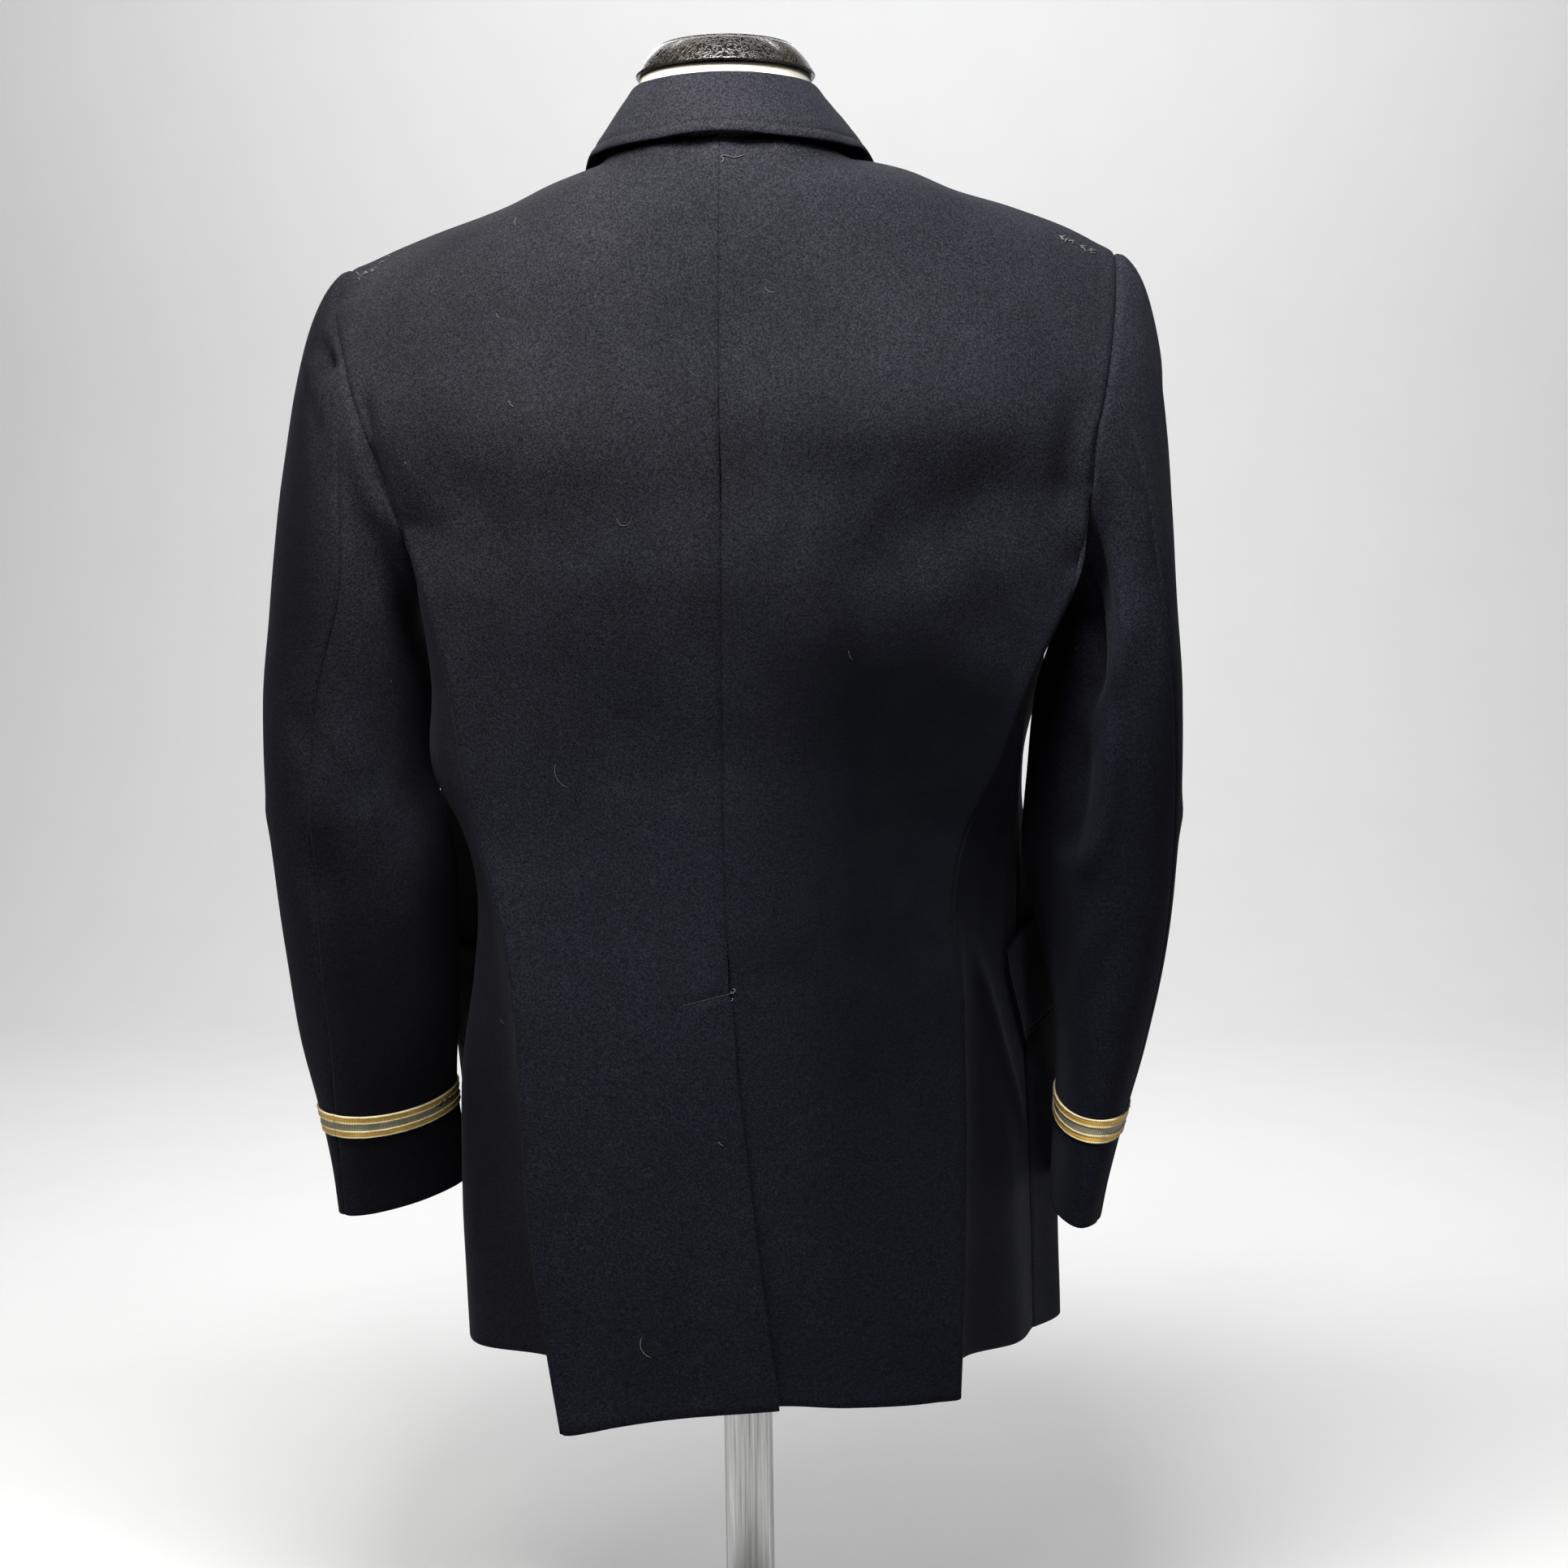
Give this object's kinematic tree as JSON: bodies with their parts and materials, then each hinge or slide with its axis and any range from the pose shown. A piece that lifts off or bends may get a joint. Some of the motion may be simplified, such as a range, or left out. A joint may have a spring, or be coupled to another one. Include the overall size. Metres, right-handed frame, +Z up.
{
  "type": "naval officer jacket on a limbless dress form",
  "caption": "Hip-length tailored uniform jacket with notched collar, cuff bands and a centre back vent, worn on a limbless dress form with a neck cap, pole and round base.",
  "frame": {"origin": "centre of the base's flat underside", "axes": "+Z up, -Y out of the jacket's front, +X to the wearer's left"},
  "size_m": [0.5915, 0.36, 1.0972],
  "materials": {
    "navy_wool": "matt, fine nap",
    "cuff_braid": "woven, dull gold with a grey centre",
    "gilt_button": "satin",
    "form_jersey": "fine knit",
    "cap_black": "crackled gloss",
    "pole_steel": "brushed",
    "base_paint": "satin"
  },
  "bodies": {
    "root": {"back_left": "navy_wool", "back_right": "navy_wool", "side_left": "navy_wool", "side_right": "navy_wool", "front_left": "navy_wool", "front_right": "navy_wool", "lapel_left": "navy_wool", "lapel_right": "navy_wool", "collar": "navy_wool", "sleeve_top_left": "navy_wool", "sleeve_top_right": "navy_wool", "sleeve_under_left": "navy_wool", "sleeve_under_right": "navy_wool", "flap_left": "navy_wool", "flap_right": "navy_wool", "braid_left": "cuff_braid", "braid_right": "cuff_braid", "button_1": "gilt_button", "button_2": "gilt_button", "button_3": "gilt_button", "button_4": "gilt_button", "form_torso": "form_jersey", "form_neck_cap": "cap_black", "form_pole": "pole_steel", "form_base": "base_paint"}
  },
  "joints": []
}
